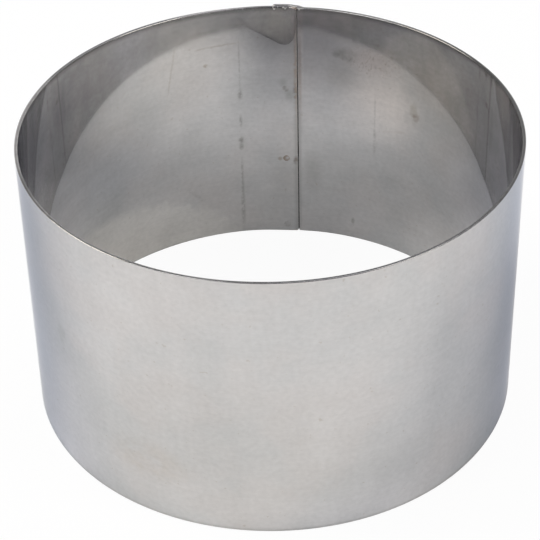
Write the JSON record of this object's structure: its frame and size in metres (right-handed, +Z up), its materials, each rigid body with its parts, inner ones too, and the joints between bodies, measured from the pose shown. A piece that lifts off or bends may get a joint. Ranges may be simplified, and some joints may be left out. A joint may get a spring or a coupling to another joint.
{
  "type": "pastry ring",
  "caption": "Open stainless steel ring of rolled sheet, closed by a stepped and spot-welded lap, for shaping, baking, cutting and plating dough, mousse and cakes.",
  "frame": {"origin": "centre of the ring on the plane of its bottom rim, where it stands", "axes": "+Z up along the ring's axis, +Y towards the welded lap, +X to the right when the lap is at the back"},
  "size_m": [0.1, 0.1005, 0.06],
  "materials": {
    "stainless_sheet": "bright cold-rolled stainless sheet with a faint haze, fine scratches and bare cut edges",
    "weld_metal": "spot weld with a dull dished face and brown heat tint"
  },
  "bodies": {
    "root": {"ring_band": "stainless_sheet", "spot_weld_1": "weld_metal", "spot_weld_2": "weld_metal", "spot_weld_3": "weld_metal", "spot_weld_4": "weld_metal"}
  },
  "joints": []
}
